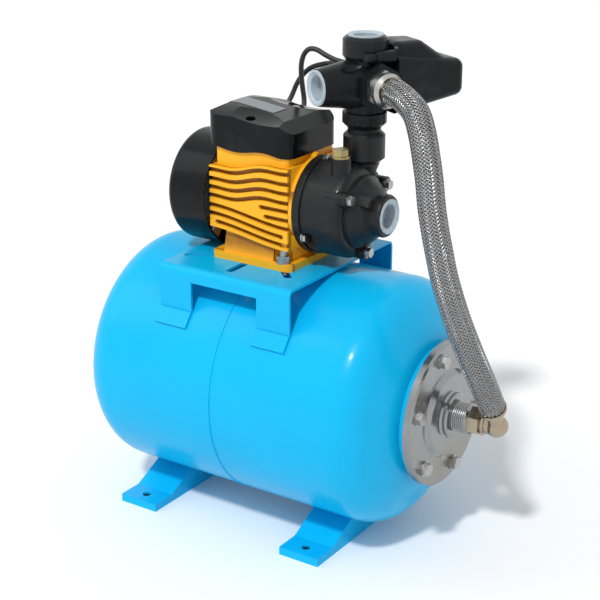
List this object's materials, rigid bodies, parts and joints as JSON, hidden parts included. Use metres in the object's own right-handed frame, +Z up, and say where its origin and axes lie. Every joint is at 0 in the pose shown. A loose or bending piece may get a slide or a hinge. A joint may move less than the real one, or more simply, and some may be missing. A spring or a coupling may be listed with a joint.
{
  "type": "booster pump set",
  "caption": "Booster pump set: a finned motor with a peripheral pump and pressure switch on a horizontal membrane tank, joined by a braided hose.",
  "frame": {"origin": "on the floor under the middle of the set's length and width", "axes": "+X along the tank towards its flange, +Y to the rear of the set, +Z up"},
  "size_m": [0.5274, 0.2818, 0.5644],
  "materials": {
    "tank_paint": "gloss",
    "motor_paint": "gloss",
    "black_plastic": "satin",
    "casting": "satin",
    "zinc_steel": "satin",
    "plated": "polished",
    "brass": "satin",
    "rubber": "matt",
    "clear_plastic": "gloss",
    "white_plastic": "satin",
    "copper_wire": "satin",
    "steel_core": "satin",
    "aluminium": "satin",
    "braid": "satin"
  },
  "bodies": {
    "set": {"tank_rear_shell": "tank_paint", "tank_front_shell": "tank_paint", "tank_collar": "tank_paint", "membrane": "rubber", "counter_flange": "zinc_steel", "flange_bolts": "zinc_steel", "air_valve": "brass", "air_valve_cap": "black_plastic", "rear_foot": "tank_paint", "front_foot": "tank_paint", "pump_bracket": "tank_paint", "motor_housing": "motor_paint", "rear_end_shield": "aluminium", "fan_cover": "black_plastic", "stator_core": "steel_core", "stator_windings": "copper_wire", "front_bearing": "zinc_steel", "rear_bearing": "zinc_steel", "terminal_box_cover": "black_plastic", "cover_screws": "zinc_steel", "terminal_block": "white_plastic", "run_capacitor": "aluminium", "terminal_glands": "black_plastic", "foot_bolts": "zinc_steel", "motor_bolts": "zinc_steel", "pump_casing": "casting", "suction_cover": "casting", "cover_bolts": "zinc_steel", "casing_gasket": "rubber", "seal_seat": "white_plastic", "check_valve_guide": "white_plastic", "check_valve_spring": "zinc_steel", "priming_plug": "brass", "discharge_nipple": "black_plastic", "port_fitting": "black_plastic", "gauge_plug": "black_plastic", "switch_diaphragm": "rubber", "switch_base": "zinc_steel", "range_spring": "zinc_steel", "contact_block": "white_plastic", "switch_cover": "black_plastic", "switch_glands": "black_plastic", "hose_nipple": "plated", "hose_ferrules": "plated", "elbow": "plated", "leads": "rubber", "flex_hose": "braid"},
    "rotor": {"motor_shaft": "steel_core", "rotor_core": "steel_core", "cooling_fan": "white_plastic", "impeller": "brass", "seal_ring": "rubber"},
    "inlet_valve": {"check_valve": "white_plastic"},
    "inlet_plug": {"suction_plug": "clear_plastic"},
    "upper_plug": {"top_plug": "clear_plastic"},
    "front_plug": {"side_plug": "clear_plastic"},
    "swivel_nut": {"union_nut": "black_plastic"},
    "plunger": {"switch_plunger": "white_plastic"},
    "lever": {"contact_lever": "brass"},
    "valve_core": {"air_valve_pin": "zinc_steel"}
  },
  "joints": [
    {"name": "rotor_spin", "type": "hinge", "parent": "set", "child": "rotor", "pos_m": [-0.0298, 0, 0.376], "axis": [1, 0, 0], "continuous": true},
    {"name": "inlet_valve_lift", "type": "slide", "parent": "set", "child": "inlet_valve", "axis": [-1, 0, 0], "range_m": [0, 0.006], "stiffness_N_per_m": 60, "deforming": ["check_valve_spring"]},
    {"name": "inlet_plug_pull", "type": "slide", "parent": "set", "child": "inlet_plug", "axis": [1, 0, 0], "range_m": [0, 0.03]},
    {"name": "upper_plug_pull", "type": "slide", "parent": "set", "child": "upper_plug", "axis": [0, 0, 1], "range_m": [0, 0.03]},
    {"name": "front_plug_pull", "type": "slide", "parent": "set", "child": "front_plug", "axis": [-0.4695, -0.8829, 0], "range_m": [0, 0.03]},
    {"name": "swivel_nut_turn", "type": "hinge", "parent": "set", "child": "swivel_nut", "pos_m": [0.0662, 0.02, 0.473], "axis": [0, 0, 1], "continuous": true},
    {"name": "plunger_travel", "type": "slide", "parent": "set", "child": "plunger", "axis": [0.4695, 0.8829, 0], "range_m": [0, 0.0015], "stiffness_N_per_m": 400, "deforming": ["range_spring"]},
    {"name": "lever_rock", "type": "hinge", "parent": "set", "child": "lever", "pos_m": [0.10405, 0.04858, 0.512], "axis": [0, 0, 1], "range_deg": [-8.2, 0]},
    {"name": "valve_core_press", "type": "slide", "parent": "set", "child": "valve_core", "axis": [1, 0, 0], "range_m": [0, 0.002], "stiffness_N_per_m": 150}
  ],
  "couplings": [
    {"joint": "lever_rock", "follows": "plunger_travel", "rad_per_m": -95}
  ]
}
